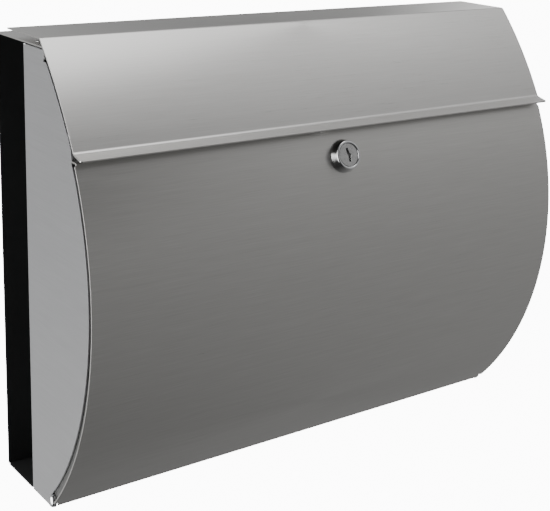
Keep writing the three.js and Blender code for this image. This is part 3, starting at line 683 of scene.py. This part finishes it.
def turned(section, steps, place):
    """A solid turned from (radius, height) points. place puts (across, height, beside) in the box.
    Points at radius 0 close on the axis."""
    shape = bmesh.new()
    rings = []
    for radius, height in section:
        count = 1 if radius < 1e-6 else steps
        rings.append([shape.verts.new(place(
            radius * math.cos(2 * math.pi * k / steps), height, radius * math.sin(2 * math.pi * k / steps)))
            for k in range(count)])
    closed = section[0][0] > 1e-6 and section[-1][0] > 1e-6
    for lower, upper in zip(rings, rings[1:] + (rings[:1] if closed else [])):
        for k in range(steps):
            corners = [lower[k % len(lower)], lower[(k + 1) % len(lower)],
                       upper[(k + 1) % len(upper)], upper[k % len(upper)]]
            unique = [c for i, c in enumerate(corners) if c not in corners[:i]]
            if len(unique) > 2:
                shape.faces.new(unique)
    bmesh.ops.recalc_face_normals(shape, faces=shape.faces[:])
    return shape


zinc_plate = grained_finish(
    "zinc_plate", (700, 3.0), [(0.3, (0.56, 0.57, 0.6)), (0.7, (0.72, 0.72, 0.7))],
    [(0.3, 0.26), (0.7, 0.4)], (0.2, 0.00005), tint=(160, 3.0))

PIN_RADIUS = 1.1
PIN_HALF = 15.4
for label, side in (("left", -1), ("right", 1)):
    middle = side * FLAP_HINGE_X

    def on_pin(across, height, beside):
        return (middle + height, HINGE_AXIS[0] + across, HINGE_AXIS[1] + beside)

    end = [(PIN_RADIUS * math.cos(math.radians(t)), PIN_HALF + 0.6 * math.sin(math.radians(t)))
           for t in (0, 30, 60, 90)]
    pin = turned([(r, -h) for r, h in reversed(end)] + end, 32, on_pin)
    as_piece(f"hinge_rod_{label}", pin, zinc_plate, "box", [f"hinge_pin_{label}"])

# ---------------------------------------------------------------------------------------
# Rivets: zinc-plated, with a low domed head outside and an upset tail inside. Three fix each
# side panel to the housing, two each side of the roof, and two each hinge leaf.
def rivet_tree():
    """One rivet on every point of the mesh, turned to face outwards."""
    tree = bpy.data.node_groups.new("rivets", "GeometryNodeTree")
    face = tree.interface
    face.new_socket("Geometry", in_out="INPUT", socket_type="NodeSocketGeometry")
    for name, value in (("Head Radius", 0.0024), ("Head Height", 0.001), ("Shank Radius", 0.0012),
                        ("Grip", 0.002), ("Tail Radius", 0.0019), ("Tail Length", 0.0009),
                        ("Standing Off", 0.00005)):
        face.new_socket(name, in_out="INPUT", socket_type="NodeSocketFloat").default_value = value
    face.new_socket("Facing", in_out="INPUT", socket_type="NodeSocketVector")
    face.new_socket("Plating", in_out="INPUT", socket_type="NodeSocketMaterial")
    face.new_socket("Geometry", in_out="OUTPUT", socket_type="NodeSocketGeometry")
    given = tree.nodes.new("NodeGroupInput")
    result = tree.nodes.new("NodeGroupOutput")

    def cylinder(radius_socket, depth_socket, sides=28):
        node = tree.nodes.new("GeometryNodeMeshCylinder")
        node.inputs["Vertices"].default_value = sides
        wire(tree, (radius_socket, node.inputs["Radius"]), (depth_socket, node.inputs["Depth"]))
        return node.outputs["Mesh"]

    def moved(geometry, height=None, stretch=None):
        node = tree.nodes.new("GeometryNodeTransform")
        wire(tree, (geometry, node.inputs["Geometry"]))
        if height is not None:
            combine = tree.nodes.new("ShaderNodeCombineXYZ")
            wire(tree, (height, combine.inputs["Z"]), (combine.outputs[0], node.inputs["Translation"]))
        if stretch is not None:
            combine = tree.nodes.new("ShaderNodeCombineXYZ")
            for socket, value in zip(combine.inputs, stretch):
                wire(tree, (value, socket))
            wire(tree, (combine.outputs[0], node.inputs["Scale"]))
        return node.outputs["Geometry"]

    # Head: the upper half of a ball, flattened to the head's height and closed underneath
    ball = tree.nodes.new("GeometryNodeMeshUVSphere")
    ball.inputs["Segments"].default_value = 28
    ball.inputs["Rings"].default_value = 16
    ball.inputs["Radius"].default_value = 1.0
    place = tree.nodes.new("GeometryNodeInputPosition")
    split = tree.nodes.new("ShaderNodeSeparateXYZ")
    level = math_node(tree, "MAXIMUM", split.outputs["Z"], 0.0)
    level = math_node(tree, "ADD", level, math_node(tree, "MULTIPLY", math_node(
        tree, "MINIMUM", split.outputs["Z"], 0.0), 0.04))
    flatten = tree.nodes.new("GeometryNodeSetPosition")
    level_vector = tree.nodes.new("ShaderNodeCombineXYZ")
    wire(tree, (place.outputs[0], split.inputs[0]), (split.outputs["X"], level_vector.inputs["X"]),
         (split.outputs["Y"], level_vector.inputs["Y"]), (level, level_vector.inputs["Z"]),
         (ball.outputs["Mesh"], flatten.inputs["Geometry"]),
         (level_vector.outputs[0], flatten.inputs["Position"]))
    radius, height = given.outputs["Head Radius"], given.outputs["Head Height"]
    head_base = math_node(tree, "ADD", given.outputs["Standing Off"],
                          math_node(tree, "MULTIPLY", height, 0.04))
    head = moved(flatten.outputs["Geometry"], head_base, (radius, radius, height))
    grip = given.outputs["Grip"]
    shank = moved(cylinder(given.outputs["Shank Radius"], math_node(tree, "ADD", grip, 0.0006)),
                  math_node(tree, "MULTIPLY", grip, -0.5))
    tail_middle = math_node(tree, "MULTIPLY_ADD", given.outputs["Tail Length"], -0.5)
    wire(tree, (math_node(tree, "SUBTRACT", math_node(tree, "MULTIPLY", grip, -1.0), 0.0003),
                tail_middle.node.inputs[2]))
    tail = moved(cylinder(given.outputs["Tail Radius"], given.outputs["Tail Length"]), tail_middle)
    join = tree.nodes.new("GeometryNodeJoinGeometry")
    for part in (tail, shank, head):
        wire(tree, (part, join.inputs[0]))
    to_points = tree.nodes.new("GeometryNodeMeshToPoints")
    turn = tree.nodes.new("FunctionNodeAlignRotationToVector")
    turn.axis = "Z"
    spread = tree.nodes.new("GeometryNodeInstanceOnPoints")
    real = tree.nodes.new("GeometryNodeRealizeInstances")
    smooth = tree.nodes.new("GeometryNodeSetShadeSmooth")
    paint = tree.nodes.new("GeometryNodeSetMaterial")
    wire(tree, (given.outputs["Geometry"], to_points.inputs["Mesh"]),
         (to_points.outputs["Points"], spread.inputs["Points"]),
         (join.outputs[0], spread.inputs["Instance"]),
         (given.outputs["Facing"], turn.inputs["Vector"]),
         (turn.outputs["Rotation"], spread.inputs["Rotation"]),
         (spread.outputs["Instances"], real.inputs["Geometry"]),
         (real.outputs[0], smooth.inputs["Geometry"]),
         (smooth.outputs[0], paint.inputs["Geometry"]),
         (given.outputs["Plating"], paint.inputs["Material"]),
         (paint.outputs[0], result.inputs["Geometry"]))
    return tree


rivets_on_points = rivet_tree()
RIVET_ROWS = [
    ("side_rivets",
     [(side * SIDE_RIVET_X, -RECESS_DEPTH, z) for side in (-1, 1) for z in SIDE_RIVET_HEIGHTS],
     (0, 1, 0), STEEL + CLEARANCE + BLACK_STEEL,
     [f"side_rivet_{label}_{n}" for label in ("left", "right") for n in (1, 2, 3)]),
    ("roof_rivets", [(x, y, ROOF_TOP) for x, y in roof_rivets], (0, 0, 1),
     ROOF_TOP - SIDE_HEIGHT + STEEL, [f"roof_rivet_{n}" for n in (1, 2, 3, 4)]),
    ("leaf_rivets", [(x, y, leaf_under + KNUCKLE_SHEET) for x, y in leaf_rivets], (0, 0, 1),
     KNUCKLE_SHEET + CLEARANCE + STEEL, [f"leaf_rivet_{n}" for n in (1, 2, 3, 4)]),
]
for name, points, facing, grip, nodes in RIVET_ROWS:
    mesh = bpy.data.meshes.new(name)
    mesh.from_pydata([(x * MM, y * MM, (z + BOTTOM) * MM) for x, y, z in points], [], [])
    row = placed(name, mesh)
    modifier = row.modifiers.new("rivets", "NODES")
    modifier.node_group = rivets_on_points
    settings = {item.name: item.identifier for item in rivets_on_points.interface.items_tree
                if item.in_out == "INPUT"}
    modifier[settings["Grip"]] = grip * MM
    modifier[settings["Facing"]] = facing
    modifier[settings["Plating"]] = zinc_plate
    settle(row)
    row.data.set_sharp_from_angle(angle=SMOOTH_BELOW)
    fasten(row, "box", nodes)

# ---------------------------------------------------------------------------------------
# Slot rail: a folded stainless bar under the mail slot, its end tabs welded to the side
# panels. Two rubber buffers on its face quieten the flap, and the lock's cam turns behind it.
RAIL_FRONT, RAIL_REAR = -101, -80
RAIL_LOW, RAIL_TOP = 227, 253
RAIL_SHEET = 1.2
rail_end = HALF_WIDTH - STEEL - CLEARANCE
rail_line = BentLine([
    (RAIL_FRONT, RAIL_LOW), (RAIL_FRONT, RAIL_TOP, SHEET_BEND), (RAIL_REAR, RAIL_TOP, SHEET_BEND),
    (RAIL_REAR, RAIL_TOP - 10)])
WELD_GAP = 0.02
rail_inner = rail_end - RAIL_SHEET - WELD_GAP
rail_outline = rounded_outline(rectangle(-rail_inner, rail_inner, 0, rail_line.length), 0.6)
rail = flat_blank([rail_outline], RAIL_SHEET)
keep_flat_places(rail)
fold_across_x(rail, rail_line)


def stand_at_side(plate, side, outer):
    """Stands a flat plate upright, facing one side, with its outer face that far out."""
    for vert in plate.verts:
        y, z, depth = vert.co
        vert.co = (side * (outer + depth), y, z)
    if side < 0:
        bmesh.ops.reverse_faces(plate, faces=plate.faces[:])


def weld_on(shape, extra):
    """Adds a second solid to a shape, for parts that are welded or cut from one piece."""
    extra_mesh = bpy.data.meshes.new("extra")
    extra.to_mesh(extra_mesh)
    extra.free()
    shape.from_mesh(extra_mesh)
    bpy.data.meshes.remove(extra_mesh)


for side in (-1, 1):
    tab_outline = rounded_outline(rectangle(RAIL_FRONT, RAIL_REAR, RAIL_LOW, RAIL_TOP), 2.0)
    tab = flat_blank([tab_outline], RAIL_SHEET)
    keep_flat_places(tab)
    stand_at_side(tab, side, rail_end)
    weld_on(rail, tab)
as_piece("rail", rail, side_steel, "box", ["slot_rail"])

rubber = grained_finish(
    "black_rubber", (1400, 3.0), [(0.3, 0.012), (0.7, 0.024)],
    [(0.3, 0.75), (0.7, 0.9)], (0.4, 0.00008), metallic=0.0)
BUFFER_X, BUFFER_WIDTH, BUFFER_THICK = 110, 12, 1.9
BUFFER_LOW, BUFFER_HIGH = 245.5, 250.5
for label, side in (("left", -1), ("right", 1)):
    pad_start = side * BUFFER_X - BUFFER_WIDTH / 2
    pad_end = side * BUFFER_X + BUFFER_WIDTH / 2
    pad_outline = rounded_outline(rectangle(pad_start, pad_end, BUFFER_LOW, BUFFER_HIGH), 1.4)
    pad = flat_blank([pad_outline], BUFFER_THICK, edge=0.5)
    keep_flat_places(pad)
    pad_face = RAIL_FRONT - CLEARANCE - BUFFER_THICK
    fold_across_x(pad, BentLine([(pad_face, 0), (pad_face, SIDE_HEIGHT)]))
    as_piece(f"buffer_{label}", pad, rubber, "box", [f"flap_buffer_{label}"])

# ---------------------------------------------------------------------------------------
# Door pivots: chromed pins with domed heads, pushed through the side panels' ears and the
# door's flanges, each held inside by a spring-steel push-on cap.
chrome = grained_finish(
    "chrome", (260, 4.0), [(0.3, (0.72, 0.73, 0.75)), (0.7, (0.82, 0.82, 0.82))],
    [(0.3, 0.07), (0.7, 0.15)], (0.08, 0.00005))

PIVOT_RADIUS = 1.75
PIVOT_HEAD_RADIUS = 4.3
PIVOT_HEAD_HEIGHT = 2.3
PIVOT_END = 182.5
CAP_RADIUS, CAP_FROM, CAP_TO = 2.7, 183.5, 185.3
for label, side in (("left", -1), ("right", 1)):
    def on_pivot(across, height, beside):
        return (side * height, PIVOT[0] + across, PIVOT[1] + beside)

    head_base = HALF_WIDTH + 0.1
    dome_section = [(PIVOT_HEAD_RADIUS * math.cos(math.radians(t)),
                     head_base + 0.45 + (PIVOT_HEAD_HEIGHT - 0.3) * math.sin(math.radians(t)))
                    for t in range(0, 91, 9)]
    pivot = turned([
        (0, PIVOT_END), (PIVOT_RADIUS - 0.5, PIVOT_END), (PIVOT_RADIUS, PIVOT_END + 0.6),
        (PIVOT_RADIUS, head_base), (PIVOT_HEAD_RADIUS - 0.25, head_base),
        (PIVOT_HEAD_RADIUS, head_base + 0.2), *dome_section[:-1], (0, dome_section[-1][1])], 48, on_pivot)
    as_piece(f"pivot_pin_{label}", pivot, chrome, "box", [f"door_pivot_{label}"])
    cap = turned([
        (PIVOT_RADIUS + 0.1, CAP_FROM), (CAP_RADIUS - 0.5, CAP_FROM), (CAP_RADIUS - 0.1, CAP_FROM + 0.2),
        (CAP_RADIUS, CAP_FROM + 0.6), (CAP_RADIUS, CAP_TO), (PIVOT_RADIUS + 0.1, CAP_TO)], 32, on_pivot)
    as_piece(f"push_cap_{label}", cap, zinc_plate, "box", [f"pivot_cap_{label}"])

# ---------------------------------------------------------------------------------------
# Door: 1 mm stainless, brushed along its width, rolled to a curve and folded back along its
# top edge. Its bottom corners are cut back so that it clears the side panels as it swings.
door_steel = brushed_finish("brushed_door_steel", (0.655, 0.648, 0.63), (0.585, 0.578, 0.56), 0.31)
DOOR_RADIUS = 212.2
FRONT_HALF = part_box("door_panel")[1].x / MM
DOOR_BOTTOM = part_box("door_panel")[0].z / MM - BOTTOM
DOOR_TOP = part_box("door_panel")[1].z / MM - BOTTOM
DOOR_HEM = 6
LOCK_HEIGHT = 220.9
LOCK_HOLE = 9.0
ROLL_STEPS = 72


def arc_degrees(radius, height, centre=FRONT_ARC):
    return 180 - math.degrees(math.asin((height - centre[1]) / radius))


door_arc = arc(FRONT_ARC, DOOR_RADIUS, arc_degrees(DOOR_RADIUS, DOOR_BOTTOM),
               arc_degrees(DOOR_RADIUS, DOOR_TOP), ROLL_STEPS)
door_line = BentLine([
    *door_arc[:-1], (*door_arc[-1], 1.4), (door_arc[-1][0] + DOOR_HEM, DOOR_TOP)])
CORNER_TOP = 6.3
FOOT_HALF, HEM_HALF = 186, 189
corner_station = door_line.station(1, CORNER_TOP, last=False)
hem_station = door_line.station(1, DOOR_TOP - 1.5, last=False)
door_outline = rounded_outline([
    (-FOOT_HALF, 0, 0.8), (FOOT_HALF, 0, 0.8), (FOOT_HALF, corner_station, 0.5),
    (FRONT_HALF, corner_station, 0.6),
    (FRONT_HALF, hem_station, 0.8), (HEM_HALF, hem_station, 0), (HEM_HALF, door_line.length, 0.8),
    (-HEM_HALF, door_line.length, 0.8), (-HEM_HALF, hem_station, 0), (-FRONT_HALF, hem_station, 0.8),
    (-FRONT_HALF, corner_station, 0.6), (-FOOT_HALF, corner_station, 0.5)], 0.5)
lock_station = door_line.station(1, LOCK_HEIGHT, last=False)
door = flat_blank([door_outline, hole(0, lock_station, LOCK_HOLE, 64)], STEEL)
keep_flat_places(door)
fold_across_x(door, door_line)
as_piece("door_sheet", door, door_steel, "door", ["door_panel"])

# ---------------------------------------------------------------------------------------
# Door flanges: crescent plates of stainless with fainter brushing, welded inside the door's ends. Their
# base colour is darkened to paint the shade in the narrow groove between side panel and door. They stiffen
# the sheet and carry the pivots at their lower ends.
FLANGE_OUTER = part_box("door_flange_right")[1].x / MM
FLANGE_TOP = 234
flange_edge = DOOR_RADIUS - STEEL - CLEARANCE
INNER_RISE = 11
FLANGE_WIDTH = 12.3
inner_centre = (FRONT_ARC[0], FRONT_ARC[1] + INNER_RISE)
inner_edge = flange_edge - FLANGE_WIDTH
lug_radius = flange_edge - math.dist(PIVOT, FRONT_ARC)
lug_rear = PIVOT[0] + lug_radius
lug_top = inner_centre[1] - math.sqrt(inner_edge ** 2 - (lug_rear - inner_centre[0]) ** 2)
pivot_angle = math.degrees(math.atan2(PIVOT[1] - FRONT_ARC[1], PIVOT[0] - FRONT_ARC[0]))
flange_outline = [
    *arc(PIVOT, lug_radius, 0, pivot_angle, 24),
    *arc(FRONT_ARC, flange_edge, pivot_angle + 360, arc_degrees(flange_edge, FLANGE_TOP), 72)[1:],
    *arc(inner_centre, inner_edge, arc_degrees(inner_edge, FLANGE_TOP, inner_centre),
         arc_degrees(inner_edge, lug_top, inner_centre), 72)]
for label, side in (("left", -1), ("right", 1)):
    flange = flat_blank([flange_outline, hole(*PIVOT, PIVOT_HOLE)], STEEL)
    keep_flat_places(flange)
    stand_at_side(flange, side, FLANGE_OUTER)
    as_piece(f"door_end_{label}", flange, painted_shade_steel, "door", [f"door_flange_{label}"])

# ---------------------------------------------------------------------------------------
# Cam lock: a chromed die-cast body with a threaded shank through the door, clamped from
# behind by a dished washer and a hexagon nut, with a plug that turns a flat cam.
LOCK_TILT = math.asin((LOCK_HEIGHT - FRONT_ARC[1]) / DOOR_RADIUS)
LOCK_BASE = Vector((0, front_y(DOOR_RADIUS, LOCK_HEIGHT), LOCK_HEIGHT))
LOCK_OUT = Vector((0, -math.cos(LOCK_TILT), math.sin(LOCK_TILT)))
LOCK_UP = Vector((0, math.sin(LOCK_TILT), math.cos(LOCK_TILT)))


def on_lock(across, height, upward):
    """A place on the lock, from the middle of its seat on the door's face."""
    return LOCK_BASE + Vector((across, 0, 0)) + LOCK_OUT * height + LOCK_UP * upward


def stand_on_lock(plate, height):
    """Puts a flat plate square to the lock's axis, with its outer face at that height."""
    for vert in plate.verts:
        across, upward, depth = vert.co
        vert.co = on_lock(across, height + depth, upward)


THREAD_RADIUS = 8.6
THREAD_END = -14.5
THREAD_PITCH = 1.0
COLLAR_RADIUS = 11
COLLAR_HEIGHT = 6.4
PLUG_HEAD = 7.5
PLUG_BORE = 6.25
threads = []
turns = int((-THREAD_END - 1.5) / THREAD_PITCH)
for turn in range(turns):
    foot = THREAD_END + 0.7 + turn * THREAD_PITCH
    threads += [(THREAD_RADIUS - 0.45, foot), (THREAD_RADIUS, foot + 0.4), (THREAD_RADIUS, foot + 0.6)]
body_section = [
    (PLUG_BORE, THREAD_END), (THREAD_RADIUS - 0.8, THREAD_END), *threads,
    (THREAD_RADIUS, 0.05), (COLLAR_RADIUS - 0.15, 0.05), (COLLAR_RADIUS, 0.2), (COLLAR_RADIUS, 1.15),
    (COLLAR_RADIUS - 0.12, 1.5), (9.65, 5.45), (9.5, 5.9), (9.25, 6.25), (8.95, COLLAR_HEIGHT),
    (8.3, COLLAR_HEIGHT), (8.05, 6.3), (7.85, 6.0), (PLUG_HEAD + 0.25, 5.5), (PLUG_HEAD + 0.25, 1.0),
    (PLUG_BORE, 1.0)]
as_piece("lock_body", turned(body_section, 96, on_lock), chrome, "door", ["lock_housing"])
washer_section = [
    (THREAD_RADIUS + 0.2, -3.1), (11.3, -3.1), (11.5, -2.9), (11.5, -2.3), (11.3, -2.1),
    (THREAD_RADIUS + 0.2, -2.1)]
as_piece("dished_washer", turned(washer_section, 64, on_lock), zinc_plate, "door", ["lock_washer"])
NUT_CORNER, NUT_FROM, NUT_TO = 12.2, -7.4, -3.4
nut_outline = rounded_outline(arc((0, 0), NUT_CORNER, 0, 300, 5), 0.6, 3)
nut = flat_blank([nut_outline, hole(0, 0, THREAD_RADIUS + 0.2, 64)], NUT_TO - NUT_FROM, edge=0.5)
stand_on_lock(nut, NUT_TO)
as_piece("hexagon_nut", nut, zinc_plate, "door", ["lock_nut"])

# ---------------------------------------------------------------------------------------
# Plug: turned from brass and satin chromed. Its face has a stepped keyway, and its square
# tail carries the cam and a screw.
satin = grained_finish(
    "satin_plug", (500, 3.0), [(0.3, 0.5), (0.7, 0.66)],
    [(0.3, 0.24), (0.7, 0.36)], (0.15, 0.00005))
PLUG_FACE = 5.9
PLUG_END = -14.9
TAIL_END = -18
KEYWAY_DEPTH = 4
CORE_RADIUS = 6.0
TAIL_HALF = 3
KEYWAY = [(-0.3, -4.6), (1.2, -4.6), (1.3, -1), (2.1, -0.7), (2.1, 0.6), (1.2, 0.8), (0.6, 1.6),
          (0.2, 4.6), (-1.4, 4.6), (-1.3, 1.2), (-0.4, -0.4)]
plug = flat_blank([hole(0, 0, PLUG_HEAD, 72), rounded_outline(KEYWAY, 0.18, 3)], KEYWAY_DEPTH, edge=0.22)
stand_on_lock(plug, PLUG_FACE)
core_top = PLUG_FACE - KEYWAY_DEPTH - WELD_GAP
core = turned([
    (0, PLUG_END), (CORE_RADIUS, PLUG_END), (CORE_RADIUS, 1.3), (PLUG_HEAD - 0.1, 1.3),
    (PLUG_HEAD - 0.1, core_top), (0, core_top)], 72, on_lock)
tail_outline = rounded_outline(rectangle(-TAIL_HALF, TAIL_HALF, -TAIL_HALF, TAIL_HALF), 0.4, 3)
tail = flat_blank([tail_outline], PLUG_END - TAIL_END - WELD_GAP, edge=0.2)
stand_on_lock(tail, PLUG_END - WELD_GAP)
for extra in (core, tail):
    weld_on(plug, extra)
as_piece("plug", plug, satin, "lock_cylinder", ["lock_plug"])

# Cam and its screw: the cam is a plated steel strip with a square hole and clipped corners.
# The screw's wide head holds it on the plug's tail.
CAM_REACH, CAM_HALF, CAM_HUB, CAM_FROM, CAM_THICK = 27, 6, 7, -17.4, 1.8
CAM_CLIP = 3
CAM_HOLE_HALF = 3.2
cam_outline = [
    *arc((0, 0), CAM_HUB, 60, -60, 24), (-CAM_REACH + CAM_CLIP, -CAM_HALF),
    (-CAM_REACH, -CAM_HALF + CAM_CLIP), (-CAM_REACH, CAM_HALF - CAM_CLIP),
    (-CAM_REACH + CAM_CLIP, CAM_HALF)]
cam_hole = rounded_outline(
    rectangle(-CAM_HOLE_HALF, CAM_HOLE_HALF, -CAM_HOLE_HALF, CAM_HOLE_HALF), 0.3, 3)
cam = flat_blank([cam_outline, cam_hole], CAM_THICK)
stand_on_lock(cam, CAM_FROM + CAM_THICK)
as_piece("cam", cam, zinc_plate, "lock_cylinder", ["lock_cam"])
screw_section = [
    (0, -20.3), (1.2, -20.45), (2.85, -20.5), (3.5, -20.1), (3.8, -19.4), (3.8, -18.3),
    (1.6, -18.3), (1.6, -18.05), (0, -18.05)]
as_piece("screw", turned(screw_section, 48, on_lock), zinc_plate, "lock_cylinder", ["cam_screw"])

# ---------------------------------------------------------------------------------------
# Flap: one stainless sheet. From the rear: tabs rolled into hinge knuckles, a flat top, a
# bend, a curved front that follows the door's line, and a flared lip to lift it by.
FLAP_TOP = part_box("flap_panel")[1].z / MM - BOTTOM
FLAP_CREASE = 242.8
LIP_REACH, LIP_DROP = 9, 2.3
TOP_BEND = 2.6
LIP_BEND = 3.2
crease_y = front_y(FLAP_RADIUS, FLAP_CREASE, FLAP_ARC)
flap_arc = arc(FLAP_ARC, FLAP_RADIUS, arc_degrees(FLAP_RADIUS, FLAP_CREASE, FLAP_ARC),
               arc_degrees(FLAP_RADIUS, FLAP_TOP, FLAP_ARC), 32)
flap_line = BentLine([
    (crease_y - LIP_REACH, FLAP_CREASE - LIP_DROP), (*flap_arc[0], LIP_BEND), *flap_arc[3:-1],
    (*flap_arc[-1], TOP_BEND), *arc(HINGE_AXIS, KNUCKLE_RADIUS, 90, -210, 40)])
knuckle_start = flap_line.station(0, HINGE_AXIS[0] - 0.01, last=False)
rear_edge = knuckle_start + 1.5
notch_station = flap_line.station(0, HINGE_AXIS[0] - 3.2, last=False)
slit_station = flap_line.station(0, HINGE_AXIS[0] - 2.0, last=False)
TAB_FROM, TAB_TO = 8.7, 15.0
SLIT_END = TAB_TO + 0.2
rear_outline = []
for side in (1, -1):
    middle = side * FLAP_HINGE_X
    half_outline = [
        (SLIT_END, rear_edge, 0.2), (SLIT_END, slit_station, 0), (TAB_TO, slit_station, 0),
        (TAB_TO, flap_line.length, 0.3), (TAB_FROM, flap_line.length, 0.3),
        (TAB_FROM, notch_station, 0.5)]
    first = [(middle + x, s, r) for x, s, r in half_outline]
    second = [(middle - x, s, r) for x, s, r in reversed(half_outline)]
    rear_outline += first + second
flap_outline = rounded_outline([
    (-FRONT_HALF, 0, 1.6), (FRONT_HALF, 0, 1.6), (FRONT_HALF, rear_edge, 1.0), *rear_outline,
    (-FRONT_HALF, rear_edge, 1.0)], 0.5, 8)
flap = flat_blank([flap_outline], STEEL)
keep_flat_places(flap)
fold_across_x(flap, flap_line)
as_piece("flap_sheet", flap, flap_steel, "flap", ["flap_panel"])
